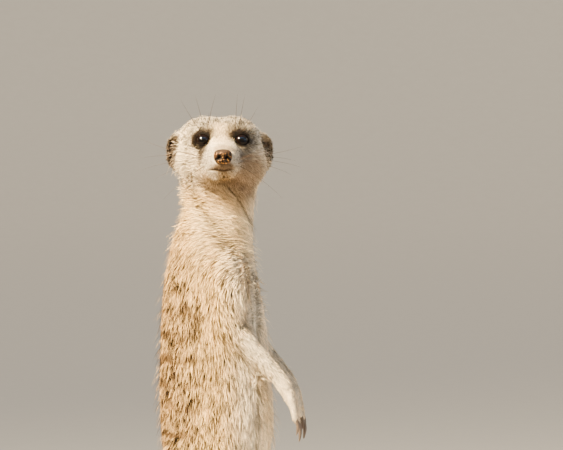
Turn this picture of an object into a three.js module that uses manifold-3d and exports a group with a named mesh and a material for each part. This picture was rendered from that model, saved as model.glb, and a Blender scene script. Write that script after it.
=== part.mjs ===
// A life-size meerkat standing upright on its hind feet, propped on its tail, with its head turned
// to look over its right shoulder. Millimetres, +Z up; the trunk faces -Y and +X is its left side.
// The solids reach to the tips of the coat. Each named part of the body is one closed solid, and
// neighbours are parted by thin cuts.
import * as THREE from 'three';
import { mergeVertices } from 'three/addons/utils/BufferGeometryUtils.js';
import Module from 'manifold-3d';

const wasm = await Module();
wasm.setup();

// ---- driving dimensions ----
const CUT = 0.3; // clearance left at every parting cut
const FLOOR_DIP = 0.7; // how far round soles and the tail would pass below the floor before they are flattened
const EYE_LEVEL = 286.2; // height of the eyes above the floor; the crown is at 300
const HEAD_TURN = THREE.MathUtils.degToRad(-82.5); // from facing -Y towards its own right, -X
const HEAD_AT = [-2.0, 1.7, EYE_LEVEL]; // midway between the ears, at eye level
const SNOUT = 50; // from the line between the ears forward to the nose tip
const EYE = { radius: 4.8, aside: 10.2, forward: 23.9, up: -0.5 };
const EAR = {
  at: [23, 2, -6.4], // beside, behind and below the point midway between the ears at eye level
  reach: [8.8, 6.8, 11.2], // half sizes: sideways, fore and aft, and up
  hollow: { shift: [2.2, -4.4, -0.4], reach: [6.6, 6.0, 8.4] },
  sweep: THREE.MathUtils.degToRad(14), // how far the ear turns to face forwards
};
const NOSE = { width: 9.8, height: 8.0, depth: 8.4, up: -9.0, taper: 0.14 }; // narrower towards the lip
const NOSTRIL = { aside: 2.2, up: -9.3, radius: 1.0 };
const TOES = 4;
const FINGER = { length: 10.5, radius: 2.5, spacing: 3.9, claw: 14.5, clawRadius: 1.25 };
const TOE = { length: 15, radius: 2.9, spacing: 4.4, claw: 8.5, clawRadius: 1.15 };
const FOOT_SPLAY = THREE.MathUtils.degToRad(9);

// Outlines of the body as stations. Neck and trunk: height, chest line, back line, half width.
const TORSO = [
  [276, -16.0, 17.0, 13.0],
  [269, -23.6, 23.0, 17.6],
  [262, -23.8, 25.2, 20.4],
  [254, -20.2, 24.4, 20.6],
  [246, -18.4, 22.8, 20.2],
  [232, -18.4, 28.6, 21.8],
  [216, -18.8, 33.2, 24.2],
  [200, -22.0, 35.6, 25.6],
  [184, -25.0, 36.8, 26.6],
  [165, -27.2, 37.6, 27.8],
  [145, -29.0, 38.0, 29.4],
  [125, -30.4, 37.6, 31.4],
  [108, -29.0, 36.4, 32.4],
  [92, -23.0, 33.4, 29.6],
  [79, -11.0, 27.0, 20.0],
  [72, -1.0, 20.0, 10.0],
];
const NECK_BASE = 226; // height of the cut between neck and trunk, on the spine's line
// Head: distance behind the nose tip, crown or bridge line, throat line, half width, height of
// the widest point, all from eye level.
const HEAD = [
  [2.8, -8.2, -15.6, 3.4, -12.4],
  [4.8, -6.2, -18.0, 6.2, -13.0],
  [9, -4.2, -21.6, 9.2, -13.8],
  [14, -2.0, -24.0, 11.2, -14.6],
  [20, 1.9, -25.4, 13.8, -14.0],
  [26, 6.6, -26.6, 18.4, -11.6],
  [32, 10.2, -27.6, 22.6, -10.4],
  [40, 12.9, -28.6, 25.0, -11.0],
  [48, 14.0, -29.6, 26.0, -12.0],
  [56, 13.2, -30.0, 25.2, -12.0],
  [63, 9.6, -28.6, 21.6, -11.0],
  [69, 3.4, -23.0, 14.4, -9.4],
  [72, -2.0, -16.0, 7.6, -8.6],
];
const CROWN_SQUARENESS = 2.7;
const THROAT_SQUARENESS = 2.2;

// Limbs, on the left side; the right side is mirrored.
const SHOULDER = [17.5, -3.5, 213];
const ELBOW = [24.5, -4, 178];
const WRIST = [19.5, -34, 148];
const KNUCKLES = [17.5, -41.5, 134];
const HIP = [17.5, 13, 106];
const KNEE = [26, -15, 64];
const ANKLE = [24, 20, 12];
const HEEL = [24, 26, 0];
const FOOT_LENGTH = 47; // heel to the roots of the toes
const TAIL = [
  [0, 20, 94, 11.0],
  [0, 36, 80, 10.6],
  [1, 52, 54, 9.4],
  [4, 68, 28, 8.2],
  [12, 90, 11, 7.4],
  [25, 122, 6.9, 6.9],
  [38, 156, 6.1, 6.1],
  [46, 192, 5.1, 5.1],
  [48, 209, 3.8, 3.8],
];
const TAIL_CUTS = [0.36, 0.72]; // shares of the tail's length at its two parting cuts

// ---- materials ----
const coat = new THREE.MeshStandardMaterial({ color: 0xcdb491, roughness: 0.9, metalness: 0 });
const paleCoat = new THREE.MeshStandardMaterial({ color: 0xe3d6c0, roughness: 0.9, metalness: 0 });
const darkCoat = new THREE.MeshStandardMaterial({ color: 0x3c3029, roughness: 0.9, metalness: 0 });
const noseLeather = new THREE.MeshStandardMaterial({ color: 0x70492f, roughness: 0.55, metalness: 0 });
const eyeGloss = new THREE.MeshStandardMaterial({ color: 0x1a0f0a, roughness: 0.08, metalness: 0 });
const clawHorn = new THREE.MeshStandardMaterial({ color: 0x4a3a2e, roughness: 0.45, metalness: 0 });

// ---- shape tools ----
const vec = (x, y, z) => new THREE.Vector3(x, y, z);
const mirrored = ([x, y, z]) => [-x, y, z];

// A smooth function through stations: each row is a position followed by its values.
function through(stations) {
  const rows = [...stations].sort((a, b) => a[0] - b[0]);
  const places = rows.map((row) => row[0]);
  const values = rows.flatMap((row) => row.slice(1));
  const curve = new THREE.CubicInterpolant(places, values, rows[0].length - 1);
  return (place) => Array.from(curve.evaluate(place));
}

// Closes a stack of rings with a fan at either end. Rings turn right-handed about the way they advance.
function loft(rings) {
  const sides = rings[0].length;
  const middle = (ring) => ring.reduce((sum, p) => sum.add(p), vec(0, 0, 0)).divideScalar(sides);
  const points = [...rings.flat(), middle(rings[0]), middle(rings.at(-1))];
  const [start, end] = [points.length - 2, points.length - 1];
  const faces = [];
  for (let i = 0; i < sides; i++) {
    const next = (i + 1) % sides;
    for (let row = 0; row + 1 < rings.length; row++) {
      const [a, b] = [row * sides + i, row * sides + next];
      faces.push(a, b, a + sides, b, b + sides, a + sides);
    }
    const last = (rings.length - 1) * sides;
    faces.push(start, next, i, end, last + i, last + next);
  }
  const geometry = new THREE.BufferGeometry().setFromPoints(points);
  geometry.setIndex(faces);
  return solid(geometry);
}

function solid(geometry) {
  geometry.deleteAttribute('normal');
  geometry.deleteAttribute('uv');
  const merged = mergeVertices(geometry, 1e-4);
  return new wasm.Manifold(new wasm.Mesh({
    numProp: 3,
    vertProperties: merged.attributes.position.array,
    triVerts: new Uint32Array(merged.index.array),
  }));
}

// One ring of a body section: a loop whose upper and lower halves may differ in height and squareness.
function section({ centre, side, up, half, above, below, squareAbove = 2, squareBelow = 2, sides }) {
  const ring = [];
  for (let i = 0; i < sides; i++) {
    const turn = (i / sides) * Math.PI * 2;
    const [cos, sin] = [Math.cos(turn), Math.sin(turn)];
    const power = 2 / (sin > 0 ? squareAbove : squareBelow);
    const across = half * Math.sign(cos) * Math.abs(cos) ** power;
    const rise = (sin > 0 ? above : below) * Math.sign(sin) * Math.abs(sin) ** power;
    ring.push(centre.clone().addScaledVector(side, across).addScaledVector(up, rise));
  }
  return ring;
}

// A limb along a smooth path. Each joint is [x, y, z, half width, half depth]; caps are the angles of
// the rings that round its ends.
function limb(joints, { sides = 12, steps = 6, caps = [62, 28], grow = 0 } = {}) {
  const path = new THREE.CatmullRomCurve3(joints.map(([x, y, z]) => vec(x, y, z)), false, 'centripetal');
  const girth = through(joints.map(([, , , half, depth = half], i) => [i / (joints.length - 1), half, depth]));
  const rings = [];
  const ring = (share, past, shrink) => {
    const along = path.getTangent(share);
    const side = vec(1, 0, 0).addScaledVector(along, -along.x).normalize();
    const up = along.clone().cross(side);
    const [half, depth] = girth(share).map((r) => r + grow);
    const centre = path.getPoint(share).addScaledVector(along, past * Math.min(half, depth));
    rings.push(section({ centre, side, up, half: half * shrink, above: depth * shrink, below: depth * shrink, sides }));
  };
  for (const angle of caps.map(THREE.MathUtils.degToRad)) ring(0, -Math.sin(angle), Math.cos(angle));
  for (let i = 0; i <= steps; i++) ring(i / steps, 0, 1);
  for (const angle of caps.map(THREE.MathUtils.degToRad).reverse()) ring(1, Math.sin(angle), Math.cos(angle));
  return loft(rings);
}

function ball([x, y, z], [rx, ry, rz], detail = 12) {
  const geometry = new THREE.SphereGeometry(1, detail, Math.round(detail * 0.6));
  return solid(geometry.applyMatrix4(new THREE.Matrix4().makeScale(rx, ry, rz).setPosition(x, y, z)));
}

// A large block that holds everything on one side of a plane.
function halfSpace(point, normal) {
  const reach = 600;
  const turn = new THREE.Quaternion().setFromUnitVectors(vec(0, 0, 1), normal.clone().normalize());
  const centre = point.clone().addScaledVector(normal.clone().normalize(), reach / 2);
  const block = new THREE.BoxGeometry(reach, reach, reach);
  return solid(block.applyMatrix4(new THREE.Matrix4().compose(centre, turn, vec(1, 1, 1))));
}

const largest = (made) => made.decompose().reduce((a, b) => (a.volume() > b.volume() ? a : b));
const aboveFloor = halfSpace(vec(0, 0, 0), vec(0, 0, 1));
const headMatrix = new THREE.Matrix4().makeRotationZ(HEAD_TURN).setPosition(...HEAD_AT);
const onHead = (made) => made.transform(headMatrix.elements);

// ---- head ----
function headShape(grow = 0) {
  const outline = through(HEAD);
  const [first, last] = [HEAD[0][0], HEAD.at(-1)[0]];
  const steps = 16;
  const rings = [];
  for (let i = 0; i <= steps; i++) {
    const share = i / steps;
    const behindNose = first + (last - first) * share ** 1.15;
    const [crown, throat, half, widest] = outline(behindNose);
    rings.push(section({
      centre: vec(0, behindNose - SNOUT, widest),
      side: vec(1, 0, 0),
      up: vec(0, 0, -1),
      half: half + grow,
      above: widest - throat + grow,
      below: crown - widest + grow,
      squareAbove: THROAT_SQUARENESS,
      squareBelow: CROWN_SQUARENESS,
      sides: 22,
    }).map(modelled));
  }
  return loft(rings);
}

// Raises the brows, whisker pads and chin and sinks the crown's groove and the hollows before the eyes.
function modelled(point) {
  const lumps = [
    { at: [12.5, -20, 7.5], size: 7, push: 1.3 }, // brow
    { at: [10.5, -30, -2.5], size: 5.5, push: -1.6 }, // hollow before the eye
    { at: [7.5, -41, -14], size: 5, push: 1.1 }, // whisker pad
    { at: [0, -2, 15], size: 5, push: -1.2 }, // groove of the crown
    { at: [17, 0, 9], size: 8, push: 0.9 }, // the crown's corners above the ears
    { at: [0, -42, -20.5], size: 4, push: 0.6 }, // chin
    { at: [17, -26, -10], size: 7, push: -0.8 }, // hollow below the cheekbone
    { at: [23, -2, -15], size: 9, push: 0.9 }, // cheek ruff
    { at: [24, -4, -21.5], size: 7.5, push: 4.0, leftOnly: true }, // jaw, pushed out by the turned neck
  ];
  const axis = vec(0, point.y, -8);
  const outward = point.clone().sub(axis).normalize();
  const moved = point.clone();
  for (const { at, size, push, leftOnly } of lumps) {
    const aside = leftOnly ? point.x : Math.abs(point.x);
    const distance = vec(aside, point.y, point.z).distanceTo(vec(...at));
    moved.addScaledVector(outward, push * Math.exp(-((distance / size) ** 2)));
  }
  return moved;
}

function eyeShape(hand, grow = 0) {
  const r = EYE.radius + grow;
  return ball([hand * EYE.aside, -EYE.forward, EYE.up], [r, r, r]);
}

function noseShape(grow = 0) {
  const { width, height, depth, up, taper } = NOSE;
  const rings = [];
  for (const angle of [-80, -52, -18, 18, 52, 80].map(THREE.MathUtils.degToRad)) {
    const rise = Math.sin(angle);
    const girth = Math.cos(angle) ** 0.75 * (1 + taper * rise);
    rings.push(section({
      centre: vec(0, -SNOUT + depth / 2, up + rise * (height / 2 + grow)),
      side: vec(1, 0, 0),
      up: vec(0, 1, 0),
      half: (width / 2 + grow) * girth,
      above: (depth / 2 + grow) * girth,
      below: (depth / 2 + grow) * girth,
      sides: 10,
    }));
  }
  const pad = loft(rings);
  if (grow) return pad;
  const nostrils = [-1, 1].map((hand) => limb([
    [hand * NOSTRIL.aside, -SNOUT - 2, NOSTRIL.up, NOSTRIL.radius],
    [hand * (NOSTRIL.aside - 0.3), -SNOUT + 2.6, NOSTRIL.up + 0.3, NOSTRIL.radius * 0.8],
  ], { sides: 6, steps: 1, caps: [] }));
  return nostrils.reduce((made, hole) => made.subtract(hole), pad);
}

// A cupped ear that stands out from the side of the head and opens forwards.
function earShape(hand, grow = 0) {
  const [aside, behind, up] = EAR.at;
  const turn = new THREE.Matrix4().makeRotationZ(hand * EAR.sweep).setPosition(hand * aside, behind, up);
  const shell = ball([0, 0, 0], EAR.reach.map((r) => r + grow));
  if (grow) return shell.transform(turn.elements);
  const { shift: [out, forward, lift], reach } = EAR.hollow;
  return shell.subtract(ball([hand * out, forward, lift], reach, 10)).transform(turn.elements);
}

// ---- neck and trunk ----
function torsoShape(grow = 0) {
  const outline = through(TORSO);
  const [low, high] = [TORSO.at(-1)[0], TORSO[0][0]];
  const steps = 19;
  const rings = [];
  for (let i = 0; i <= steps; i++) {
    const height = low + ((high - low) * i) / steps;
    const [chest, back, half] = outline(height);
    const middle = (chest + back) / 2;
    rings.push(section({
      centre: vec(0, middle, height),
      side: vec(1, 0, 0),
      up: vec(0, 1, 0),
      half: half + grow,
      above: back - middle + grow,
      below: middle - chest + grow,
      squareAbove: 2.1,
      squareBelow: 2.15,
      sides: 20,
    }));
  }
  return loft(rings);
}

function splitAt(made, point, normal) {
  const away = normal.clone().normalize().multiplyScalar(CUT / 2);
  return [
    made.intersect(halfSpace(point.clone().add(away), normal)),
    made.intersect(halfSpace(point.clone().sub(away), normal.clone().negate())),
  ];
}

// ---- limbs ----
const upperArm = (grow) => limb([
  [...SHOULDER, 10, 13],
  [22.5, -6.5, 196, 9.6, 12.4],
  [...ELBOW, 7.8, 8.6],
], { sides: 10, steps: 5, grow });

const forearm = (grow) => limb([
  [...ELBOW, 7.4, 8.2],
  [22.8, -18, 164.5, 6.6, 7.0],
  [...WRIST, 5.2, 5.0],
], { sides: 8, steps: 4, grow });

const palm = (grow) => limb([
  [...WRIST, 5.2, 4.7],
  [18.2, -38.8, 140, 6.4, 4.2],
  [...KNUCKLES, 7.0, 3.7],
], { sides: 8, steps: 3, caps: [45], grow });

const thigh = (grow) => limb([
  [...HIP, 17.5, 24],
  [23, 0, 86, 16, 21],
  [...KNEE, 10.6, 12.2],
], { sides: 12, steps: 4, grow });

const shin = (grow) => limb([
  [KNEE[0], KNEE[1] + 3, KNEE[2] - 4, 9.4, 10.4],
  [26, 4, 40, 8.0, 9.6],
  [...ANKLE, 5.6, 6.2],
], { sides: 10, steps: 5, grow });

const sole = (grow) => {
  const made = limb([
    [HEEL[0], HEEL[1] - 5, 6.2 - FLOOR_DIP, 5.4, 6.2],
    [HEEL[0], HEEL[1] - 0.45 * FOOT_LENGTH, 5.4 - FLOOR_DIP, 6.8, 5.4],
    [HEEL[0], HEEL[1] - FOOT_LENGTH, 4.4 - FLOOR_DIP, 8.6, 4.4],
  ], { sides: 9, steps: 3, caps: [45], grow });
  return made.transform(footTurn.elements);
};

const footTurn = new THREE.Matrix4().makeTranslation(HEEL[0], HEEL[1], 0)
  .multiply(new THREE.Matrix4().makeRotationZ(FOOT_SPLAY))
  .multiply(new THREE.Matrix4().makeTranslation(-HEEL[0], -HEEL[1], 0));

// The digits of one paw. Each entry gives a digit's root, the way it points and the way its back faces.
function digits({ root, along, across, back, size }) {
  const middle = (TOES - 1) / 2;
  return Array.from({ length: TOES }, (_, i) => {
    const offset = i - middle;
    const outer = Math.abs(offset) > 1;
    const length = size.length * (outer ? 0.82 : 1);
    const way = along.clone().addScaledVector(across, offset * 0.07).normalize();
    const start = root.clone().addScaledVector(across, offset * size.spacing);
    const at = (share, rise) => start.clone()
      .addScaledVector(way, length * share).addScaledVector(back, rise).toArray();
    const digit = [
      [...at(-0.3, 0), size.radius],
      [...at(0.5, size.radius * 0.28), size.radius * 1.02],
      [...at(1, -size.radius * 0.1), size.radius * 0.86],
    ];
    const clawLength = size.claw * (outer ? 0.85 : 1) / length;
    const claw = [
      [...at(0.96, size.radius * 0.2), size.clawRadius * 0.95, size.clawRadius * 1.05],
      [...at(1 + clawLength * 0.5, size.radius * 0.4), size.clawRadius * 0.7, size.clawRadius * 0.95],
      [...at(1 + clawLength, -size.radius * 0.75), size.clawRadius * 0.2, size.clawRadius * 0.2],
    ];
    return { digit, claw };
  });
}

const DIGIT_DETAIL = { sides: 6, steps: 2, caps: [45] };
const CLAW_DETAIL = { sides: 5, steps: 2, caps: [] };

function paw(base, digitList) {
  const toes = digitList.map(({ digit }) => limb(digit, DIGIT_DETAIL));
  return toes.reduce((made, toe) => made.add(toe), base);
}

const handDown = vec(...KNUCKLES).sub(vec(18.2, -38.8, 140)).normalize();
const fingers = digits({
  root: vec(...KNUCKLES),
  along: handDown.clone().add(vec(0, 0.12, -0.25)).normalize(),
  across: vec(1, 0, 0),
  back: vec(0, -1, -0.35).normalize(),
  size: FINGER,
});
const footForward = vec(0, -1, 0).transformDirection(footTurn);
const toes = digits({
  root: vec(HEEL[0], HEEL[1] - FOOT_LENGTH, TOE.radius - FLOOR_DIP).applyMatrix4(footTurn),
  along: footForward,
  across: vec(1, 0, 0).transformDirection(footTurn),
  back: vec(0, 0, 1),
  size: TOE,
});

// ---- tail ----
function tailShape() {
  return limb(TAIL.map(([x, y, z, r]) => [x, y, z > r ? z : r - FLOOR_DIP, r]), { sides: 10, steps: 16 });
}

const tailPath = new THREE.CatmullRomCurve3(TAIL.map(([x, y, z]) => vec(x, y, z)), false, 'centripetal');

// ---- assembly ----
const group = new THREE.Group();

function place(name, made, material) {
  const { vertProperties, triVerts } = largest(made).getMesh();
  const geometry = new THREE.BufferGeometry();
  geometry.setAttribute('position', new THREE.BufferAttribute(vertProperties, 3));
  geometry.setIndex(new THREE.BufferAttribute(triVerts, 1));
  geometry.computeVertexNormals();
  const mesh = new THREE.Mesh(geometry, material);
  mesh.name = name;
  group.add(mesh);
}

// Head, with sockets for the eyes and seats for the ears and nose.
const hands = { left: 1, right: -1 };
let skull = headShape().subtract(noseShape(CUT));
for (const hand of Object.values(hands)) {
  skull = skull.subtract(eyeShape(hand, CUT)).subtract(earShape(hand, CUT));
}
place('head', onHead(skull), paleCoat);
place('nose', onHead(noseShape()), noseLeather);
for (const [name, hand] of Object.entries(hands)) {
  place(`eye_${name}`, onHead(eyeShape(hand)), eyeGloss);
  place(`ear_${name}`, onHead(earShape(hand)), darkCoat);
}

// Neck and trunk, one outline parted by a cut that slopes with the shoulders.
const headRoom = onHead(headShape(CUT))
  .add(onHead(earShape(1, CUT))).add(onHead(earShape(-1, CUT)));
const [neck, belowNeck] = splitAt(torsoShape(), vec(0, 6, NECK_BASE), vec(0, 0.3, 1));
place('neck', neck.subtract(headRoom), paleCoat);

place('trunk', belowNeck, coat);
const torsoRoom = torsoShape(CUT);

const flipX = new THREE.Matrix4().makeScale(-1, 1, 1);
const flip = (made, hand) => (hand > 0 ? made : made.transform(flipX.elements));

const arm = {
  upper: upperArm(0).subtract(torsoRoom),
  fore: forearm(0).subtract(torsoRoom).subtract(upperArm(CUT)),
  hand: paw(palm(0), fingers).subtract(forearm(CUT)).subtract(torsoRoom),
};
const leg = {
  thigh: thigh(0).subtract(torsoRoom),
  shin: shin(0).subtract(thigh(CUT)).subtract(torsoRoom).subtract(sole(CUT)),
  foot: paw(sole(0), toes).intersect(aboveFloor),
};

for (const [name, hand] of Object.entries(hands)) {
  place(`upper_arm_${name}`, flip(arm.upper, hand), coat);
  place(`forearm_${name}`, flip(arm.fore, hand), coat);
  place(`hand_${name}`, flip(arm.hand, hand), coat);
  place(`thigh_${name}`, flip(leg.thigh, hand), coat);
  place(`shin_${name}`, flip(leg.shin, hand), coat);
  place(`foot_${name}`, flip(leg.foot, hand), coat);
  fingers.forEach(({ digit, claw }, i) => {
    const tip = limb(claw, CLAW_DETAIL).subtract(limb(digit, { ...DIGIT_DETAIL, grow: CUT }));
    place(`fore_claw_${name}_${i + 1}`, flip(tip, hand), clawHorn);
  });
  toes.forEach(({ digit, claw }, i) => {
    const tip = limb(claw, CLAW_DETAIL).subtract(limb(digit, { ...DIGIT_DETAIL, grow: CUT }))
      .intersect(aboveFloor);
    place(`hind_claw_${name}_${i + 1}`, flip(tip, hand), clawHorn);
  });
}

// Tail, in three lengths; it rests on the floor as a prop.
let rest = tailShape().subtract(torsoRoom).intersect(aboveFloor);
['tail_root', 'tail_middle'].forEach((name, i) => {
  const [beyond, piece] = splitAt(rest, tailPath.getPointAt(TAIL_CUTS[i]), tailPath.getTangentAt(TAIL_CUTS[i]));
  place(name, piece, coat);
  rest = beyond;
});
place('tail_tip', rest, darkCoat);

// The origin is on the floor, under the middle of the whole model.
const box = new THREE.Box3().setFromObject(group);
const middle = box.getCenter(vec(0, 0, 0));
for (const mesh of group.children) mesh.geometry.translate(-middle.x, -middle.y, -box.min.z);

export default group;
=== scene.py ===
"""A meerkat that stands on its hind feet, propped on its tail, and looks over its right shoulder.

One skin covers the body. The coat lies over it in tufts that follow the lie of the fur, and carries
the same markings and painted shade as the skin. Eyes, nose, claws and whiskers are pieces of their own.
"""

import math

import bpy
import numpy as np
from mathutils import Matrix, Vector
from mathutils.bvhtree import BVHTree


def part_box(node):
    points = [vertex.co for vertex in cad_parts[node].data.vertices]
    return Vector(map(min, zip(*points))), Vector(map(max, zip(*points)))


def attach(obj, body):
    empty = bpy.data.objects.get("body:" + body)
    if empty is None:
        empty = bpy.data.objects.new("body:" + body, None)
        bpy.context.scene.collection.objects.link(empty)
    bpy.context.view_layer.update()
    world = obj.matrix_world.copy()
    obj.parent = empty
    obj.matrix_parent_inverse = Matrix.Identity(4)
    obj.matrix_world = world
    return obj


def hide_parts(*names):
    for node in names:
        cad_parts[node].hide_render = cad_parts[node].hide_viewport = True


MM = 0.001
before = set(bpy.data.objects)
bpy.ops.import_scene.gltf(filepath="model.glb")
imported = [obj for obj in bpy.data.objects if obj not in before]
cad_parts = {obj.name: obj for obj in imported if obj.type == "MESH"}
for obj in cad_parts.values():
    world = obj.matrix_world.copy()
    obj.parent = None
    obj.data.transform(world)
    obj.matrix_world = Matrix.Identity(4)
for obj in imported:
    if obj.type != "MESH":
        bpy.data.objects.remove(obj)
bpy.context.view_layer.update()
random = np.random.default_rng(11)

# ---- the body's own measures ----
SIDES = {"left": 1, "right": -1}
EYES = [f"eye_{side}" for side in SIDES]
CLAWS = [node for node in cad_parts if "_claw_" in node]
FLESH = [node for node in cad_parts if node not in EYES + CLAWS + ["nose"]]

EYE_RADIUS = 4.8
EYE_OPENING = (3.8, 2.9)  # half width and half height between the lids
LID = 0.45  # thickness of the lids over the eyeball
VOXEL = 1.22 * MM

# Each part of the body: depth of the coat, length and width of its hairs, and hairs per square
# millimetre.
COAT = {
    "head": (1.8, 3.6, 0.16, 13.0),
    "ear": (1.1, 3.6, 0.13, 18.0),
    "neck": (2.8, 8.0, 0.21, 9.0),
    "trunk": (3.6, 10.0, 0.25, 6.6),
    "upper_arm": (2.6, 8.0, 0.30, 5.6),
    "forearm": (1.6, 5.5, 0.28, 5.0),
    "hand": (0.7, 2.8, 0.17, 10.0),
    "thigh": (3.2, 9.5, 0.38, 3.0),
    "shin": (1.6, 5.5, 0.30, 4.0),
    "foot": (0.7, 3.0, 0.20, 7.5),
    "tail_root": (2.4, 7.0, 0.34, 3.2),
    "tail_middle": (1.9, 6.0, 0.32, 3.4),
    "tail_tip": (1.6, 6.5, 0.32, 3.8),
}
STREAK = 0.55 * MM  # width of the light and dark streaks in the coat
FINE_STREAK = 0.45 * MM  # the same on the head
STRAYS = 0.015  # share of hairs that are longer and stand further out
ROOT = 0.25 * MM  # depth below the skin at which a hair starts
PATCH = 0.003  # width of a tuft's patch on the unwrap
HAIR = [(0, 0.9), (0.6, 1.0), (1, 0)]  # a hair's rows: place along it and share of its width, to the tip


def part_of(node):
    """The part of the body that a node of flesh belongs to, as COAT names it."""
    return next(part for part in COAT if node.startswith(part))


COAT_OF = np.array([COAT[part_of(node)] for node in FLESH])
IS_EAR = np.char.startswith(np.array(FLESH), "ear")


def centre_of(*nodes):
    corners = [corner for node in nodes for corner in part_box(node)]
    return np.array(sum(corners, Vector()) / len(corners))


def unit(vectors):
    vectors = np.asarray(vectors, float)
    return vectors / np.maximum(np.linalg.norm(vectors, axis=-1, keepdims=True), 1e-12)


def lengths(vectors):
    return np.linalg.norm(vectors, axis=1)


def hill(values):
    """1 where a value is 0, falling smoothly to 0 on both sides."""
    return np.exp(-values ** 2)


def ramp(values, start, end):
    """A smooth step from 0 at start to 1 at end."""
    share = np.clip((values - start) / (end - start), 0, 1)
    return share * share * (3 - 2 * share)


UP = np.array([0, 0, 1.0])
FACE_AT = centre_of(*EYES)  # midway between the eyes
FACE_LEFT = unit((centre_of("eye_left") - centre_of("eye_right")) * [1, 1, 0])
FACE_BACK = np.cross(UP, FACE_LEFT)
FACE = np.array([FACE_LEFT, FACE_BACK, UP])  # rows: the head's left, back and up
FACE_SHIFT = 0.5  # the middle of the face lies this far to the left of the middle of the eyes
NOSE_TIP = np.array([0, -26.1, -8.5])  # in the face's own millimetres
NOSE_AT = np.array([0.1, -21.6, -9.7])
NOSE_HALF = np.array([5.3, 4.6, 4.4])


def in_face(points):
    """Places in millimetres left of, behind and above the point between the eyes."""
    return (points - FACE_AT) @ FACE.T / MM


def from_face(points):
    return FACE_AT + np.asarray(points) @ FACE * MM


# ---- camera, light and floor ----
VIEW_TURN = math.radians(-85)
VIEW_RISE = math.radians(1.5)
VIEW_DISTANCE = 4.0
FIELD_WIDTH = 0.3232  # width of the view at the animal
VIEW_RIGHT = np.array([math.cos(VIEW_TURN), math.sin(VIEW_TURN), 0])
TOWARDS_CAMERA = np.array([math.sin(VIEW_TURN), -math.cos(VIEW_TURN), 0])


def add_object(name, data):
    holder = bpy.data.objects.new(name, data)
    bpy.context.scene.collection.objects.link(holder)
    return holder


def set_camera():
    camera = bpy.data.cameras.new("camera")
    camera.sensor_width = 36
    camera.lens = camera.sensor_width * VIEW_DISTANCE / FIELD_WIDTH
    camera.clip_end = 100
    holder = add_object("camera", camera)
    bpy.context.scene.camera = holder
    target = Vector(from_face(NOSE_TIP) + VIEW_RIGHT * 33.6 * MM)
    target.z = 236.9 * MM
    back = Vector(TOWARDS_CAMERA) * math.cos(VIEW_RISE) + Vector(UP) * math.sin(VIEW_RISE)
    holder.location = target + back * VIEW_DISTANCE
    holder.rotation_euler = (-back).to_track_quat("-Z", "Y").to_euler()


def direction(turn, rise):
    """A way out from the animal; turn 0 is the camera's side, positive to its right."""
    turn, rise = math.radians(turn), math.radians(rise)
    level = TOWARDS_CAMERA * math.cos(turn) + VIEW_RIGHT * math.sin(turn)
    return Vector(level * math.cos(rise) + UP * math.sin(rise))


def set_lamp(name, kind, way, distance, power, colour, **settings):
    """A lamp in the given direction that looks at the head."""
    lamp = bpy.data.lights.new(name, kind)
    lamp.energy = power
    lamp.color = colour
    for setting, value in settings.items():
        setattr(lamp, setting, value)
    holder = add_object(name, lamp)
    holder.location = Vector(FACE_AT) + way * distance
    holder.rotation_euler = (-way).to_track_quat("-Z", "Y").to_euler()


def set_studio():
    world = bpy.data.worlds.new("studio")
    bpy.context.scene.world = world
    world.use_nodes = True
    sky = world.node_tree.nodes["Background"]
    sky.inputs["Color"].default_value = (0.78, 0.90, 1.0, 1)
    sky.inputs["Strength"].default_value = 0.27
    set_lamp("sun", "SUN", direction(-50, 46), 3, 3.5, (1, 0.84, 0.60), angle=math.radians(9))
    spread = math.radians(80)
    set_lamp("key", "AREA", direction(-52, 42), 1.5, 49, (1, 0.79, 0.47), size=0.3, spread=spread)
    set_lamp("fill", "AREA", direction(75, 5), 1.6, 11, (0.42, 0.66, 1), size=1.5)
    window = {"shape": "RECTANGLE", "size": 2.0, "size_y": 0.5}
    set_lamp("window", "AREA", direction(10, 52), 1.4, 7, (0.35, 0.6, 1), **window)
    floor = make_floor()
    pale = Finish("pale_floor", roughness=0.9)
    speck = pale.noise(pale.coordinates(), scale=60, detail=3)
    pale.colour(pale.mix(speck, (0.50, 0.48, 0.46), (0.54, 0.52, 0.50)))
    floor.data.materials.append(pale.material)


def make_floor():
    """A wide round floor whose rim sweeps up into a low wall."""
    flat, bend = 7.0, 4.0
    bpy.ops.object.select_all(action="DESELECT")
    bpy.ops.mesh.primitive_circle_add(vertices=96, radius=flat + bend, location=(0, 0, bend))
    floor = bpy.context.object
    floor.name = "floor"
    bpy.ops.object.transform_apply(location=True)
    bpy.ops.object.mode_set(mode="EDIT")
    bpy.ops.mesh.select_all(action="SELECT")
    radius, height = flat + bend, bend
    for angle in np.radians(np.arange(80, -1, -10)):
        bpy.ops.mesh.extrude_edges_move()
        next_radius, next_height = flat + bend * math.sin(angle), bend * (1 - math.cos(angle))
        size = next_radius / radius
        bpy.ops.transform.resize(value=(size, size, 1), center_override=(0, 0, 0))
        bpy.ops.transform.translate(value=(0, 0, next_height - height))
        radius, height = next_radius, next_height
    bpy.ops.mesh.edge_face_add()
    bpy.ops.object.mode_set(mode="OBJECT")
    floor.data.shade_smooth()
    return floor


# ---- shader tools ----
SOCKETS = {
    "roughness": "Roughness",
    "specular": "Specular IOR Level",
    "gloss_roughness": "Coat Roughness",
}


class Value:
    """A shader socket that takes part in Python expressions."""

    def __init__(self, finish, socket):
        self.finish = finish
        self.socket = socket

    def _with(self, operation, *others):
        return self.finish.node("ShaderNodeMath", {"operation": operation}, [self, *others])

    def __add__(self, other):
        return self._with("ADD", other)

    def __sub__(self, other):
        return self._with("SUBTRACT", other)

    def __mul__(self, other):
        return self._with("MULTIPLY", other)

    def __rsub__(self, other):
        return self.finish.node("ShaderNodeMath", {"operation": "SUBTRACT"}, [other, self])

    def larger(self, other):
        return self._with("MAXIMUM", other)

    def __abs__(self):
        return self._with("ABSOLUTE")

    __radd__ = __add__
    __rmul__ = __mul__


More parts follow.
